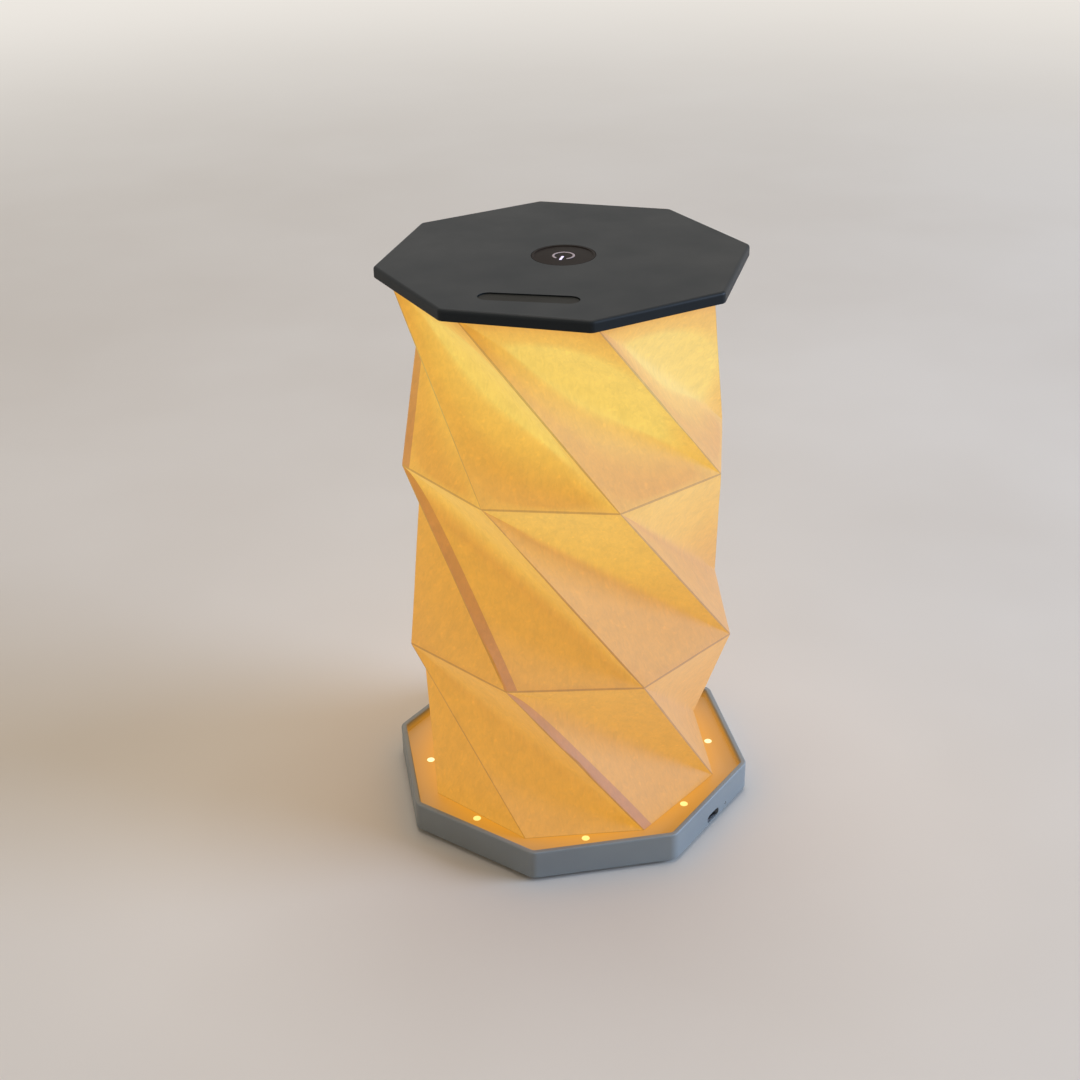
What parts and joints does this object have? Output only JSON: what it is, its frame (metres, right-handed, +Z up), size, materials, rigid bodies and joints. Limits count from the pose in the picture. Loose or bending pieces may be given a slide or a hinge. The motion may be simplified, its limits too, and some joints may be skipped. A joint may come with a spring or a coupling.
{
  "type": "folding table lamp",
  "caption": "Cordless table lamp: a twist-pleated paper tube glows between an octagonal charging tray and a dark octagonal top plate, and folds flat as the plate is turned down.",
  "frame": {"origin": "bottom centre of the lamp, on the table, on the axis of the octagonal tray", "axes": "+Z up the lamp's axis; the tray's flat sides face +X, -X, +Y and -Y and the four ways between; the charging socket is in the side that faces halfway between +X and -Y; the picture looks along about +Y"},
  "size_m": [0.144, 0.144, 0.2386],
  "materials": {
    "white_moulded": "fine satin moulded ABS",
    "dark_moulded": "fine matt moulded ABS",
    "folding_paper": "uncoated fibre paper, scored and pleated",
    "opal": "opal diffusing acrylic",
    "clear_guide": "clear acrylic rod",
    "soft_rubber": "matt moulded rubber",
    "foam": "closed-cell foam tape",
    "cell_wrap": "laminated pouch foil",
    "board": "glass-filled circuit board with solder mask",
    "steel": "zinc-plated steel",
    "nickel": "nickel-plated magnet",
    "socket_shell": "drawn stainless shell",
    "lead_jacket": "silicone-jacketed lead",
    "ribbon_film": "polyimide film ribbon",
    "diode": "white diode with phosphor lens"
  },
  "bodies": {
    "base": {"base_tray": "white_moulded", "bottom_cover": "white_moulded", "cover_screws": "steel", "rubber_feet": "soft_rubber", "battery_pad": "foam", "battery_cell": "cell_wrap", "charge_board": "board", "charging_socket": "socket_shell", "charge_light_pipe": "clear_guide", "base_lead": "lead_jacket", "battery_lead": "lead_jacket", "lead_plug": "dark_moulded", "lead_grommet": "soft_rubber", "paper_shade": "folding_paper", "base_magnets": "nickel", "lower_shade_ring": "dark_moulded", "lower_ring_screws": "steel"},
    "lead": {"inner_lead": "lead_jacket"},
    "top": {"top_cover": "dark_moulded", "under_plate": "dark_moulded", "under_plate_screws": "steel", "top_magnets": "nickel", "upper_shade_ring": "dark_moulded", "upper_ring_screws": "steel", "led_board": "board", "led_chips": "diode", "button_led": "diode", "opal_diffuser": "opal", "tact_switch": "steel", "dimmer_strip": "dark_moulded", "touch_ribbon": "ribbon_film"},
    "power_button": {"power_button": "dark_moulded", "switch_plunger": "dark_moulded"}
  },
  "joints": [
    {"name": "shade_fold", "type": "slide", "parent": "base", "child": "lead", "axis": [0, 0, -1], "range_m": [0, 0.2182], "deforming": ["paper_shade", "inner_lead"]},
    {"name": "plate_twist", "type": "hinge", "parent": "lead", "child": "top", "pos_m": [0, 0, 0.2342], "axis": [0, 0, -1], "range_deg": [0, 109.4]},
    {"name": "power_press", "type": "slide", "parent": "top", "child": "power_button", "axis": [0, 0, -1], "range_m": [0, 0.0003], "stiffness_N_per_m": 2000}
  ],
  "couplings": [
    {"joint": "plate_twist", "follows": "shade_fold", "rad_per_m": 8.7506}
  ]
}
